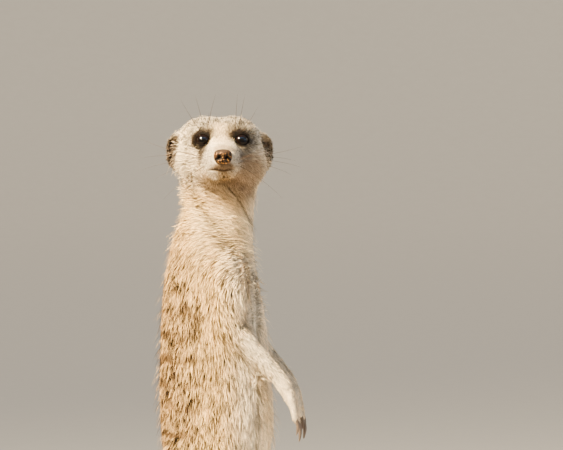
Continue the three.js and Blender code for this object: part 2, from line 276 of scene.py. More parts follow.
class Finish:
    """A material built from expressions on its sockets."""

    def __init__(self, name, **constants):
        self.material = bpy.data.materials.new(name)
        self.material.use_nodes = True
        self.tree = self.material.node_tree
        self.shader = self.tree.nodes["Principled BSDF"]
        for socket, value in constants.items():
            self.shader.inputs[SOCKETS[socket]].default_value = value

    def node(self, kind, settings=None, inputs=(), output=0):
        """Adds a node, with inputs as a list in socket order or as a dict, and returns one output."""
        node = self.tree.nodes.new(kind)
        for name, value in (settings or {}).items():
            setattr(node, name, value)
        items = inputs.items() if isinstance(inputs, dict) else enumerate(inputs)
        for key, value in items:
            if isinstance(value, Value):
                self.tree.links.new(value.socket, node.inputs[key])
            elif value is not None:
                node.inputs[key].default_value = value
        return Value(self, node.outputs[output])

    def vector(self, operation, *inputs, output=0):
        return self.node("ShaderNodeVectorMath", {"operation": operation}, list(inputs), output)

    def attribute(self, name, output="Fac"):
        return self.node("ShaderNodeAttribute", {"attribute_name": name}, output=output)

    def coordinates(self):
        return self.node("ShaderNodeTexCoord", output="Object")

    def noise(self, place, scale, detail=2.0):
        inputs = {"Vector": place, "Scale": scale, "Detail": detail}
        return self.node("ShaderNodeTexNoise", {}, inputs)

    def step(self, value, start, end):
        """A smooth step from 0 at start to 1 at end."""
        settings = {"interpolation_type": "SMOOTHSTEP"}
        inputs = {"Value": value, "From Min": start, "From Max": end}
        return self.node("ShaderNodeMapRange", settings, inputs)

    def mix(self, share, one, other):
        """A colour between two others, each a socket or three numbers."""
        one, other = [(*c, 1) if isinstance(c, tuple) else c for c in (one, other)]
        return self.node("ShaderNodeMix", {"data_type": "RGBA"}, {0: share, 6: one, 7: other}, output=2)

    def tint(self, colour, factor):
        """The colour multiplied by a number that varies over the surface."""
        scaled = self.vector("SCALE", colour)
        self.tree.links.new(factor.socket, scaled.socket.node.inputs["Scale"])
        return scaled

    def split(self, vector):
        node = self.tree.nodes.new("ShaderNodeSeparateXYZ")
        self.tree.links.new(vector.socket, node.inputs[0])
        return [Value(self, output) for output in node.outputs]

    def joined(self, x, y, z):
        return self.node("ShaderNodeCombineXYZ", {}, [x, y, z])

    def link(self, socket, value):
        self.tree.links.new(value.socket, self.shader.inputs[socket])

    def colour(self, value):
        self.link("Base Color", value)

    def bump(self, height, strength, distance):
        settings = {"Strength": strength, "Distance": distance, "Height": height}
        self.link("Normal", self.node("ShaderNodeBump", {}, settings))


# ---- markings and painted shade, shared by skin and coat ----
PALE = (0.98, 0.75, 0.42)
CREAM = (0.95, 0.64, 0.265)
WHITE = (0.96, 0.80, 0.57)
SAND = (0.64, 0.40, 0.17)
BROWN = (0.15, 0.075, 0.03)
DARK = (0.020, 0.013, 0.009)
GREY = (0.36, 0.31, 0.265)

# Marks of the face, in the order in which they are laid on: middle and reach in the face's own
# millimetres, softness and raggedness of the edge, strength and colour. Some are partly painted shade.
FACE_MARKS = {
    "bridge": ((0, -12, -4), (6, 12, 7), 0.5, 0, 0.2, GREY),
    # beside: grey on each side of the nose, partly its own grey streaks, partly painted shadow cast by
    # the nose
    "beside": ((7.5, -15, -10), (4.5, 9, 6), 0.6, 1, 0.55, GREY),
    "fuzz": ((0, -20, -5.6), (6.0, 9, 2.6), 0.4, 1, 0.6, BROWN),
    "chin": ((0, -17, -22.5), (6.0, 9, 3.6), 0.4, 1, 0.7, (0.62, 0.38, 0.14)),
    # below: dark hair under the chin, darkened further as painted shadow under the chin
    "below": ((0, -9, -23.6), (10.5, 17, 3.2), 0.4, 1.5, 0.8, (0.055, 0.030, 0.014)),
}


def face_view(finish, place, middle=FACE_SHIFT):
    """The place in the face's own millimetres, with its left and right folded together."""
    offset = finish.vector("SUBTRACT", place, tuple(FACE_AT))
    x, y, z = [finish.vector("DOT_PRODUCT", offset, tuple(axis / MM), output=1) for axis in FACE]
    return finish.joined(abs(x - middle), y, z)


def blot(finish, place, centre, reach, edge=0.25, ragged=None):
    """1 within an ellipsoid and 0 outside it, with a soft and ragged edge."""
    offset = finish.vector("DIVIDE", finish.vector("SUBTRACT", place, centre), reach)
    distance = finish.vector("LENGTH", offset, output=1)
    if ragged is not None:
        distance = distance + ragged
    return finish.step(distance, 1 + edge, 1 - edge)


def markings(finish, place):
    """The coat's colour at a place, markings and painted shade, how much its hairs differ there,
    and the colour of the dark ones.
    """
    step, mix = finish.step, finish.mix
    face = face_view(finish, place)
    _, behind, above = finish.split(face)
    _, y, z = finish.split(place)
    coarse = finish.noise(place, scale=90, detail=3)
    fine = finish.noise(place, scale=420, detail=2)
    ragged = (fine - 0.5) * 0.35

    # Body: pale below the throat and on the belly, sandy on the flank, browner along the back.
    back = step(y + (coarse - 0.5) * 0.02, -0.080, -0.052)
    colour = mix(step(y, -0.100, -0.080), WHITE, CREAM)
    back = back * (1 - step(z, 0.110, 0.060) * 0.45)
    colour = mix(back, colour, mix(coarse * 0.4, SAND, CREAM))
    # Cross-bands over the back, broken into bars; they cross the hairs rather than follow their roots.
    _, behind_here, height = finish.split(finish.coordinates())
    wave = (height + (coarse - 0.5) * 0.022 + (fine - 0.5) * 0.004) * 450
    wave = finish.node("ShaderNodeMath", {"operation": "SINE"}, [wave])
    bars = finish.noise(finish.vector("MULTIPLY", place, (1, 1, 2.2)), scale=55, detail=1)
    banded = step(wave, 0.0, 0.7) * step(bars, 0.38, 0.52)
    banded = banded * step(behind_here + (bars - 0.5) * 0.03, -0.074, -0.060)
    banded = banded * step(height, 0.215, 0.180) * step(height, 0.070, 0.085)
    colour = mix(banded * 0.8, colour, BROWN)
    # Head and neck.
    upper = step(z + (coarse - 0.5) * 0.01 - step(y, -0.080, -0.064) * 0.016, 0.205, 0.235)
    pale = mix(step(y, -0.102, -0.086), WHITE, PALE)
    colour = mix(upper * 0.8, colour, mix(step(y, -0.076, -0.064), pale, CREAM))
    head = step(above + (coarse - 0.5) * 6, -38, -20)
    colour = mix(head, colour, WHITE)
    # A tan throat, darkened further as painted shade where the head shades the throat.
    throat = blot(finish, face, (0, -6, -29), (22, 26, 12), 0.3, ragged)
    colour = mix(throat * 0.7, colour, (0.64, 0.42, 0.20))
    # Painted shade: a darker patch on one side only, under the jaw on the head's left, which is turned
    # from the lamps.
    jaw_shade_at = tuple(from_face((15, -1, -21)))
    jaw = blot(finish, place, jaw_shade_at, (0.019, 0.013, 0.013), 0.4, ragged)
    colour = mix(jaw * 0.9, colour, (0.265, 0.175, 0.108))
    brow = blot(finish, face, (0, -5, 4.0), (9, 20, 7), 0.5, ragged)
    colour = mix(brow * 0.5, colour, CREAM)
    crown = step(above + (coarse - 0.5) * 6, 4.5, 9.0)
    nape = step(behind + (coarse - 0.5) * 6, 28, 36) * head
    crown = crown.larger(nape)
    colour = mix(crown * 0.65, colour, GREY)
    marks = {}
    for mark, (middle, reach, edge, rough, strength, tone) in FACE_MARKS.items():
        marks[mark] = blot(finish, face, middle, reach, edge, ragged * rough)
        colour = mix(marks[mark] * strength, colour, tone)
    white = blot(finish, place, tuple(from_face((-5.0, -16, -19.6))), (0.0032,) * 3, 0.4)
    colour = mix(white * 0.8, colour, WHITE)
    lips = blot(finish, face, (0, -19, -15.4), (6.2, 9, 3.7), 0.35, ragged)
    colour = mix(lips * 0.9, colour, (0.11, 0.055, 0.022))
    # Dark patches round the eyes, drawn out downwards, and dark ears.
    # The eye marks are folded about a line 0.7 mm to the head's right, so the patches lie a little that
    # way: painted shade on the side of each socket that the lamps don't reach.
    socket = face_view(finish, place, -0.7)
    offset = finish.vector("SUBTRACT", place, tuple(FACE_AT))
    left = step(finish.vector("DOT_PRODUCT", offset, tuple(FACE_LEFT), output=1), -0.003, 0.003)
    fade = 1 - left * step(above, -2.0, -5.5) * 0.5
    patch = blot(finish, socket, (10.6, -1, 0.8), (8.0, 9, 6.8), 0.34, ragged * 2)
    under = blot(finish, socket, (11.7, -1, -3.0), (4.8, 9, 4.8), 0.28, ragged * 1.3)
    tear = blot(finish, face, (11.2, -4, -6.8), (5.0, 9, 5.4), 0.4, ragged * 1.3)
    outer = blot(finish, face, (16.0, 1, 0.6), (5.0, 9, 5.6), 0.4, ragged * 2)
    colour = mix(outer * 0.65, colour, (0.11, 0.08, 0.06))
    colour = mix(tear * fade * 0.95, colour, (0.055, 0.040, 0.030))
    eye = patch.larger(under * 0.9) * fade
    inner = blot(finish, socket, (10.8, -1, -0.6), (6.3, 9, 5.3), 0.3)
    umber = mix(inner, (0.028, 0.022, 0.018), (0.004, 0.003, 0.0025))
    colour = mix(eye, colour, umber)
    ear = blot(finish, face, (25.8, 24, -8.6), (8.2, 10, 10), 0.25, ragged)
    streak = finish.noise(place, scale=1500, detail=1)
    # The ears are lighter towards the top; the one on the head's left, turned from the lamps, less so:
    # painted shade.
    sandy = step(above + (streak - 0.5) * 10 - left * 5, -14, -6)
    shell = mix(step(streak, 0.3, 0.75), (0.035, 0.024, 0.018), (0.15, 0.11, 0.085))
    colour = mix(ear * 0.95, colour, mix(sandy, shell, (0.30, 0.225, 0.17)))
    lower = step(above, -3.5, -8.0) * ear * left
    colour = mix(lower * step(streak, 0.44, 0.54), colour, WHITE)
    # The tail's dark tip, painted shade in the folds, and how much the hairs differ.
    tip = step(y + (fine - 0.5) * 0.02, 0.088, 0.104)
    colour = mix(tip, colour, DARK)
    # Painted shade in the neck's fold, between the lips and between the toes.
    fold = finish.attribute("fold")
    colour = mix(fold * 0.9, colour, (0.075, 0.044, 0.026))
    neck = step(z, 0.275, 0.250) * step(z, 0.100, 0.120)
    body = step(z, 0.240, 0.200) * step(y, -0.106, -0.088)
    cheek = blot(finish, face, (19, 6, -14), (10, 14, 9), 0.3)
    calm = blot(finish, face, (0, -14, -7), (9, 16, 9), 0.3).larger(cheek)
    # Fewer dark hairs at the front of the body: the chest's paler coat, and painted light on the front
    # edge, which turns from the lamps.
    front = step(y, -0.088, -0.104) * step(z, 0.245, 0.225)
    speckle = 0.45 - neck * (1 - back) * 0.30 + body * 0.60 + back * 0.35
    speckle = speckle * (1 - front * 0.85) * (1 - calm * 0.7)
    muzzle = blot(finish, face, (0, -18, -13.5), (13, 10, 6.5), 0.4, ragged)
    chin, beside = marks["chin"], marks["beside"]
    for other in (crown, ear * 0.45, chin * 0.9, lips * 0.6, beside * 0.6, muzzle * 0.4):
        speckle = speckle.larger(other)
    return colour, speckle, mix(crown, (0.075, 0.045, 0.027), DARK)


def fur_finish():
    """Tufts with the markings, darker at the root, partly their own colour and partly painted shade deep
    in the coat, and different from hair to hair.
    """
    fur = Finish("fur", roughness=0.65, specular=0.04)
    along = fur.attribute("along")
    strand = fur.attribute("strand")
    colour, grizzle, pepper = markings(fur, fur.attribute("root", "Vector"))
    dark = fur.step(strand, 0.52, 0.28) * grizzle
    # Darker towards the root: the hairs' own darker bases, and painted shade deep in the coat.
    root = 0.55 - grizzle * 0.4
    shade = root + (1.02 - root) * fur.step(along, 0.45, 0.82)
    shade = shade * (1.14 - (0.26 + grizzle * 0.32) * fur.step(strand, 0.9, 0.2))
    colour = fur.mix(dark * 0.9, colour, pepper)
    fur.colour(fur.tint(colour, shade))
    return fur.material


def skin_finish():
    """Short underfur, seen between the tufts."""
    skin = Finish("skin", roughness=0.8, specular=0.05)
    place = skin.attribute("root", "Vector")
    colour, grizzle, _ = markings(skin, place)
    rim = skin.attribute("bare")
    # Darker where hairs differ most: the underfur's own dark colour, and painted shade between the
    # tufts.
    colour = skin.tint(colour, (0.6 + 0.3 * skin.noise(place, scale=900)) * (1 - 0.4 * grizzle))
    skin.colour(skin.mix(rim, colour, (0.004, 0.003, 0.0025)))
    skin.bump(skin.noise(place, scale=1400, detail=3), strength=0.5, distance=0.0004)
    return skin.material


# ---- mesh tools ----
def select_only(obj):
    bpy.ops.object.select_all(action="DESELECT")
    obj.select_set(True)
    bpy.context.view_layer.objects.active = obj


def add_modifier(obj, kind, **settings):
    modifier = obj.modifiers.new(kind.lower(), kind)
    for name, value in settings.items():
        setattr(modifier, name, value)
    select_only(obj)
    bpy.ops.object.modifier_apply(modifier=modifier.name)


def copy_of(node, name):
    """A loose copy of a CAD node's mesh, with its doubled corners merged."""
    obj = add_object(name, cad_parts[node].data.copy())
    obj.data.materials.clear()
    select_only(obj)
    bpy.ops.object.mode_set(mode="EDIT")
    bpy.ops.mesh.select_all(action="SELECT")
    bpy.ops.mesh.remove_doubles(threshold=1e-6)
    bpy.ops.mesh.customdata_custom_splitnormals_clear()
    bpy.ops.object.mode_set(mode="OBJECT")
    return obj


def read(collection, field, width=3, kind=np.float32):
    flat = np.empty(len(collection) * width, kind)
    collection.foreach_get(field, flat)
    return flat.reshape(-1, width) if width > 1 else flat


def places(obj):
    return read(obj.data.vertices, "co").astype(float)


def surface(obj):
    """The places of an object's corners, and the normals there."""
    return places(obj), read(obj.data.vertices, "normal").astype(float)


def move_to(obj, points):
    obj.data.vertices.foreach_set("co", points.astype(np.float32).ravel())
    obj.data.update()


def write(mesh, name, kind, values):
    """Stores one value for each vertex as a named attribute."""
    field = "vector" if kind == "FLOAT_VECTOR" else "value"
    layer = mesh.attributes.new(name, kind, "POINT")
    layer.data.foreach_set(field, np.ascontiguousarray(values, np.float32).ravel())


def soften(values, edges, rounds, count):
    """Averages values over neighbouring vertices, several times."""
    one, other = edges.T
    neighbours = np.bincount(one, minlength=count) + np.bincount(other, minlength=count) + 1.0
    values = values.reshape(count, -1).astype(float)
    for _ in range(rounds):
        for column in range(values.shape[1]):
            value = values[:, column]
            total = np.bincount(one, value[other], count) + np.bincount(other, value[one], count)
            values[:, column] = (total + value) / neighbours
    return values


# ---- skin ----
def make_skin():
    """Joins the parts of flesh, closes the cuts between them and draws one skin round the whole."""
    pieces = [copy_of(node, "skin") for node in FLESH + EYES + ["nose"]]
    bpy.ops.object.select_all(action="DESELECT")
    for piece in pieces:
        piece.select_set(True)
    bpy.context.view_layer.objects.active = pieces[0]
    bpy.ops.object.join()
    skin = pieces[0]
    add_modifier(skin, "DISPLACE", strength=0.35 * MM, mid_level=0)
    add_modifier(skin, "REMESH", mode="VOXEL", voxel_size=VOXEL)
    add_modifier(skin, "SMOOTH", factor=0.5, iterations=6)
    return skin


def refine(obj, centre, reach):
    """Divides the faces near a place more finely."""
    select_only(obj)
    middles = read(obj.data.polygons, "center").astype(float)
    near = lengths((middles - centre) / MM / reach) < 1
    bpy.ops.object.mode_set(mode="EDIT")
    bpy.ops.mesh.select_all(action="DESELECT")
    bpy.ops.object.mode_set(mode="OBJECT")
    obj.data.polygons.foreach_set("select", near)
    bpy.ops.object.mode_set(mode="EDIT")
    bpy.ops.mesh.subdivide(number_cuts=1, smoothness=0.5)
    bpy.ops.object.mode_set(mode="OBJECT")


def owners(points):
    """The node of flesh nearest to each point."""
    corners, faces, owner = [], [], []
    for index, node in enumerate(FLESH):
        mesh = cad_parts[node].data
        start = sum(len(c) for c in corners)
        corners.append(read(mesh.vertices, "co"))
        for face in mesh.polygons:
            faces.append([start + v for v in face.vertices])
            owner.append(index)
    tree = BVHTree.FromPolygons(np.concatenate(corners).tolist(), faces)
    return np.array([owner[tree.find_nearest(Vector(point))[2]] for point in points])


def eye_axes(side):
    """The middle of an eye, and its directions across, upwards and out between the lids."""
    gaze = unit([side * 0.30, -1, 0.30])
    across = unit(np.cross(gaze, UP))
    tilt = math.radians(7) * side
    above = np.cross(across, gaze)
    cosine, sine = math.cos(tilt), math.sin(tilt)
    across, above = across * cosine + above * sine, above * cosine - across * sine
    return np.array([side * 10.6 + 0.4, 0, -1.05]), np.array([across, above, gaze])


def rim_of(across, above):
    """1 on the rim of the lids, less between them."""
    return (np.abs(across / EYE_OPENING[0]) ** 1.8 + np.abs(above / EYE_OPENING[1]) ** 1.8) ** (1 / 1.8)


def from_eye(face, side):
    """How far places on the face lie across, above and before the middle of an eye."""
    centre, axes = eye_axes(side)
    return ((face - centre) @ axes.T).T


def shape_lids(face):
    """Draws the skin over each eyeball, up to the rim of the lids, and on into the brow and cheek."""
    for side in SIDES.values():
        across, above, depth = from_eye(face, side)
        reach = np.hypot(across, above)
        radius = EYE_RADIUS - 0.9 + (LID + 0.9) * ramp(rim_of(across, above), 0.96, 1.14)
        ball = np.sqrt(radius ** 2 - np.minimum(reach, 4.1) ** 2)
        share = ramp(reach, 4.0, 7.0)
        near = (reach < 7) & (depth > -2)
        face[near] += ((ball - depth) * (1 - share))[near, None] * eye_axes(side)[1][2]
    return face


def bare_of(face):
    """1 on the naked rims of the lids and under the eyeballs, 0 in the coat."""
    bare = np.zeros(len(face))
    for side in SIDES.values():
        across, above, depth = from_eye(face, side)
        rim = rim_of(across, above)
        bare = np.maximum(bare, np.where((depth > 0) & (rim < 2), ramp(rim, 1.30, 1.15), 0))
    return bare


def reach_from_nose(face):
    """1 on the outline of the nose pad, less within it."""
    return np.sum(np.abs((face - NOSE_AT) / NOSE_HALF) ** 3, axis=1) ** (1 / 3)


def shape_nose_bed(face):
    """Draws the skin in behind the nose pad."""
    share = ramp(reach_from_nose(face), 1.14, 0.92)
    return NOSE_AT + (face - NOSE_AT) * (1 - 0.6 * share)[:, None]


def shape_crown(face):
    """A shallow dip between the two sides of the crown."""
    x, y, z = face.T
    face[:, 2] -= 1.1 * hill(x / 5.5) * ramp(z, 8, 12) * ramp(y, -8, 2)
    return face


def shape_ears(face, is_ear):
    """Hollows the front of each ear inside a raised rim."""
    for side in SIDES.values():
        x, y, z = (face - [side * 24.0, 24, -6.5]).T
        hollow = 2.0 * np.exp(-(x / 4.2) ** 2 - (z / 6.5) ** 2) * ramp(y, 1, -3)
        face[:, 1] += hollow * is_ear
        lobe = ramp(z, 1, -7) * ramp(x * side, -1, 2) * is_ear
        face += np.array([side * 0.5, 0, -2.2]) * lobe[:, None]
    return face


def shape_mouth(face):
    """Presses the line of the lips and the groove below the nose into the muzzle."""
    x, y, z = face.T
    groove = 1.1 * hill((z - mouth_line(x, y)) / 0.75) * ramp(y, -3, -9) * ramp(np.abs(x), 9, 6.5)
    groove += 0.5 * hill(x / 0.7) * ramp(z, -17.5, -15.5) * ramp(z, -11.5, -13) * ramp(y, -16, -20)
    inward = unit(np.array([0, -4, -13]) - face)
    return face + inward * groove[:, None]


CREST = 6.0  # how far to each side of the arches' crest the hair points both ways

# The fold of skin that runs from below the chin across the turned neck, as places to the right of the
# nose and above the floor, seen from the animal's right side.
FOLD = np.array([[1.0, 260.0], [5.0, 255.5], [10.5, 247.0], [16.3, 236.5]])


def fold_of(points, normals, width):
    """1 on the neck's fold, falling to 0 at some widths from it."""
    across = (points - from_face(NOSE_TIP)) @ VIEW_RIGHT / MM
    seen = np.stack([across, points[:, 2] / MM], axis=1)
    nearest = np.full(len(points), 1e9)
    for start, end in zip(FOLD[:-1], FOLD[1:]):
        run = end - start
        share = np.clip((seen - start) @ run / (run @ run), 0, 1)
        nearest = np.minimum(nearest, lengths(seen - start - share[:, None] * run))
    facing = ramp(normals @ TOWARDS_CAMERA, 0.0, 0.3)
    return hill(nearest / width) * facing


def mouth_line(x, y):
    """Height of the line between the lips, in the face's millimetres."""
    return -17.5 + 0.4 * ramp(np.abs(x), 1, 5) - 0.3 * ramp(np.abs(x), 5, 9) - 1.0 * ramp(y, -16, -2)


def painted_crease_shade(points, normals):
    """Painted crease shade: 1 in the neck's fold and between the lips, up to 0.65 between the toes, 0
    elsewhere.
    """
    x, y, z = in_face(points).T
    thick = 0.6 + 0.3 * ramp(x, -3.5, -6)
    lips = hill((z - mouth_line(x, y)) / thick) * ramp(y, -9, -16)
    lips = lips * ramp(x, -7.6, -6.2) * ramp(x, 6.2, 4.6)
    return np.maximum.reduce([fold_of(points, normals, 1.15), lips, 0.65 * between_toes(points)])


def blend_jaw(skin):
    """Lets the corners of the jaw run into the neck without a step."""
    points = places(skin)
    _, y, z = in_face(points).T
    share = ramp(z, -44, -32) * ramp(z, -8, -18) * ramp(y, -14, 2)
    smooth = soften(points, edges_of(skin.data), 25, len(points))
    move_to(skin, points + (smooth - points) * share[:, None])


def paws():
    """For each paw, its claws from one side to the other and the way back from them into the paw."""
    for side in SIDES:
        for paw, claw in (("hand", "fore_claw"), ("foot", "hind_claw")):
            claws = [node for node in CLAWS if node.startswith(f"{claw}_{side}")]
            claws.sort(key=lambda node: centre_of(node)[0])
            yield claws, unit(centre_of(f"{paw}_{side}") - centre_of(*claws))


def between_toes(points):
    """1 along the middle of the gaps between fingers and toes, 0 elsewhere."""
    gap = np.zeros(len(points))
    for claws, way in paws():
        across = unit(centre_of(claws[-1]) - centre_of(claws[0]))
        for one, other in zip(claws, claws[1:]):
            offset = (points - centre_of(one, other)) / MM
            near = ramp(offset @ way, 18, 12) * (lengths(offset) < 20)
            gap = np.maximum(gap, hill((offset @ across) / 0.8) * near)
    return gap


def shape_toes(skin):
    """Parts the fingers and toes, and draws each one out over the root of its claw."""
    for claws, _ in paws():
        refine(skin, centre_of(*claws), 18)
    points, normals = surface(skin)
    shaped = points - normals * 1.3 * MM * between_toes(points)[:, None]
    for claws, way in paws():
        for node in claws:
            horn = places(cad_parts[node])
            root = horn[np.argsort(horn @ way)[-len(horn) // 4:]].mean(axis=0)
            near = hill(lengths(points - root) / MM / 2.8)[:, None]
            shaped += (normals * 0.5 - way * 2.0) * MM * near
    move_to(skin, shaped)


def edges_of(mesh):
    return read(mesh.edges, "vertices", 2, np.int32)


def dress_skin(skin):
    """Sets the skin in by the depth of the coat, and shapes the face, the toes and the fold in the neck.
    """
    points, normals = surface(skin)
    part = owners(points)
    table = COAT_OF[part]
    face = in_face(points)
    depth = table[:, 0].copy()
    muzzle = ramp(face[:, 1], 2, -14) * (part == FLESH.index("head"))
    depth = depth * (1 - muzzle) + 0.75 * muzzle
    depth = soften(depth, edges_of(skin.data), 12, len(points))[:, 0]
    move_to(skin, points - normals * depth[:, None] * MM)
    add_modifier(skin, "SMOOTH", factor=0.5, iterations=3)
    for side in SIDES:
        eye = centre_of(f"eye_{side}")
        refine(skin, eye, 10)
        refine(skin, eye, 8)
    refine(skin, from_face([0, -20, -15]), 12)
    blend_jaw(skin)
    shape_toes(skin)
    face = shape_nose_bed(in_face(places(skin)))
    is_ear = IS_EAR[owners(places(skin))]
    move_to(skin, from_face(shape_mouth(shape_lids(shape_ears(shape_crown(face), is_ear)))))
    points, normals = surface(skin)
    move_to(skin, points - normals * 1.3 * MM * fold_of(points, normals, 1.3)[:, None])
    skin.data.shade_smooth()


def unwrap(skin):
    select_only(skin)
    bpy.ops.object.mode_set(mode="EDIT")
    bpy.ops.mesh.select_all(action="SELECT")
    bpy.ops.uv.smart_project(angle_limit=math.radians(66), island_margin=0.002)
    bpy.ops.object.mode_set(mode="OBJECT")
    skin.data.uv_layers[0].name = "OFBake"


# ---- lie of the coat ----
def way_to(node, further):
    return unit(centre_of(*further) - centre_of(node))


def limb_ways():
    """The way the hair of each limb and length of tail points: towards the next part."""
    ways = {}
    for side in SIDES:
        chain = ["upper_arm", "forearm", "hand", "fore_claw"], ["thigh", "shin", "foot", "hind_claw"]
        for parts in chain:
            for part, further in zip(parts, parts[1:]):
                beyond = [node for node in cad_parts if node.startswith(f"{further}_{side}")]
                ways[f"{part}_{side}"] = way_to(f"{part}_{side}", beyond)
    ways["tail_root"] = way_to("tail_root", ["tail_middle"])
    ways["tail_middle"] = way_to("tail_middle", ["tail_tip"])
    ways["tail_tip"] = unit(ways["tail_middle"] * [1, 1, 0])
    return ways


def lie_on_head(face):
    """Back from the nose, fanning out from the eyes, and drooping on the cheeks."""
    lie = unit(face - [0, -31, -9]) + [0, 0.35, -0.1]
    lie += np.array([0, 0.2, -0.35]) * (ramp(face[:, 2], -8, -18) * ramp(face[:, 1], -12, 0))[:, None]
    for side in SIDES.values():
        offset = face - [side * 10.2, -1, 0]
        near = hill(lengths(offset) / 8)
        lie += unit(offset) * near[:, None] * 0.9
        offset = face - [side * 22, 17, -8]
        near = hill(lengths(offset) / 7)
        lie += np.array([side * 1.3, -0.5, -0.8]) * near[:, None]
    return lie @ FACE


def lie_on_body(points, normals):
    """The lie of the coat below the head, and the share of tufts that point the other way along it.

    It runs down the body. On the side that is turned to the camera the head draws the coat into arches;
    left of their crest the hair points to the left and down, right of it to the right and down.
    """
    height = points[:, 2] / MM
    across = (points - from_face(NOSE_TIP)) @ VIEW_RIGHT / MM
    crest = np.interp(height, [205, 215, 222, 232, 248, 260], [18, 10, 4, -4, -15, -20])
    radius = np.interp(height, [178, 190, 205, 215, 232, 248], [0.5, 3.5, 8.7, 15, 20, 30])
    mixed = np.minimum(radius / 2, CREST)
    reach = crest - across
    fall = np.arctan2(reach * (1 + np.maximum(reach, 0) / 30), radius)[:, None]
    arch = unit(np.cross(normals, UP)) * np.cos(fall) - UP * np.sin(fall)
    # Beyond the fold in the neck the coat runs along the fold.
    start, end = FOLD[0], FOLD[-1]
    run = unit(end - start)
    beyond = (across - start[0]) * -run[1] + (height - start[1]) * run[0]
    beyond = (ramp(beyond, -6, 0) * ramp(height, end[1] - 5, end[1]))[:, None]
    arch = arch * (1 - beyond) - (VIEW_RIGHT * run[0] + UP * run[1]) * beyond
    turned = ramp(across - crest, -mixed, mixed)
    facing = normals @ TOWARDS_CAMERA
    facing = np.where(turned < 0.5, ramp(facing, -0.85, -0.35), ramp(facing, -0.1, 0.35))[:, None]
    arch = unit(arch * facing - UP * np.sign(0.5 - turned)[:, None] * (1 - facing))
    turned = np.where(facing[:, 0] > 0.5, turned, np.round(turned))
    return arch, turned


def lie_of_coat(points, normals, part, edges):
    """The way that the hair points at each vertex of the skin, along its surface."""
    arch, turned = lie_on_body(points, normals)
    lie = arch * np.where(turned < 0.5, 1, -1)[:, None]
    face = in_face(points)
    shoulder = ramp(points[:, 2] / MM, 185, 212)[:, None]
    for node, way in limb_ways().items():
        here = part == FLESH.index(node)
        over = lie[here] * shoulder[here] if part_of(node) == "upper_arm" else 0
        lie[here] = unit(way * (1 - shoulder[here]) + over)
    head = part == FLESH.index("head")
    lie[head] = unit(lie_on_head(face[head]))
    for name, side in SIDES.items():
        ear = part == FLESH.index(f"ear_{name}")
        lie[ear] = unit(face[ear] - [side * 15, 16, -8]) @ FACE
    lie = soften(lie, edges, 6, len(points))
    body = np.isin(part, [FLESH.index(node) for node in ("neck", "trunk")])
    turned = np.where(body | (shoulder[:, 0] > 0.9), turned, np.round(turned))

    def along_skin(ways):
        return unit(ways - normals * np.sum(ways * normals, axis=1, keepdims=True))

    return along_skin(lie), along_skin(arch), turned


# ---- coat ----
class Pelt:
    """What the coat needs to know of the skin, vertex by vertex and triangle by triangle."""

    def __init__(self, skin):
        mesh = skin.data
        self.points, self.normals = surface(skin)
        self.part = owners(self.points)
        edges = edges_of(mesh)
        count = len(self.points)
        self.lie, self.arch, self.turned = lie_of_coat(self.points, self.normals, self.part, edges)
        table = COAT_OF[self.part]
        face = in_face(self.points)
        head = self.part == FLESH.index("head")
        folded = face.copy()
        folded[:, 0] = np.abs(face[:, 0])
        side, behind, above = folded.T
        front = ramp(behind, 2, -18) * head
        cheek = ramp(side, 9, 15) * ramp(above, -1, -8) * ramp(behind, -10, 2) * head
        near_eye = ramp(lengths(folded - [10.2, -1, -1]), 11, 6)
        small = np.maximum(front, near_eye)
        chin = ramp(side, 8, 5) * ramp(above, -18.5, -20) * ramp(behind, -4, -12) * head
        before_ear = ramp(lengths((folded - [23, 20, -10]) / [1, 1, 1.3]), 11, 6) * head
        ear = IS_EAR[self.part]
        lobe = ramp(above, -6, -13) * ear
        deeper = cheek - 0.6 * small - 0.7 * head + 0.8 * chin
        table[:, 0] += deeper + 1.2 * before_ear + 0.8 * lobe
        table[:, 1] += 4.2 * cheek - 1.8 * small + 3.0 * chin + 3.5 * before_ear + 3.0 * lobe
        table[:, 2] += 0.06 * cheek - 0.02 * small
        table[:, 3] += 4.0 * small - 4.0 * cheek
        self.depth, self.length, self.width, self.density = soften(table, edges, 8, count).T
        sole = (self.points[:, 2] < 3 * MM) & (self.normals[:, 2] < -0.4)
        nose = reach_from_nose(face) < 0.97
        self.density = self.density * (1 - ramp(bare_of(face), 0.2, 0.5)) * ~sole * ~nose
        y, z = self.points[:, 1] / MM, self.points[:, 2] / MM
        is_neck = self.part == FLESH.index("neck")
        fringe = ramp(y, -72, -60) * ramp(z, 236, 244) * ramp(z, 272, 264) * is_neck
        self.strays = STRAYS + 0.05 * fringe
        self.density = self.density * (1 + 0.8 * is_mixed(self.turned))
        self.fold = painted_crease_shade(self.points, self.normals)
        self.density = self.density * (1 - ramp(self.fold, 0.7, 0.9))
        mesh.calc_loop_triangles()
        self.corners = read(mesh.loop_triangles, "vertices", 3, np.int32)
        self.loops = read(mesh.loop_triangles, "loops", 3, np.int32)
        self.unwrap = read(mesh.uv_layers["OFBake"].data, "uv", 2)
        a, b, c = [self.points[self.corners[:, k]] for k in range(3)]
        area = lengths(np.cross(b - a, c - a)) / 2 / MM ** 2
        self.hairs = area * self.density[self.corners].mean(axis=1)
        self.middle = (a + b + c) / 3
        self.node = self.part[self.corners[:, 0]]
        self.tree = BVHTree.FromPolygons(self.points.tolist(), self.corners.tolist())

    def nearest(self, points):
        """The nearest place on the skin to each point, and the skin's normal there."""
        found = [self.tree.find_nearest(Vector(point)) for point in points]
        return np.array([hit[0] for hit in found]), np.array([hit[1] for hit in found])


def is_mixed(turned):
    """Where some tufts point one way and some the other."""
    return (turned > 0.02) & (turned < 0.98)


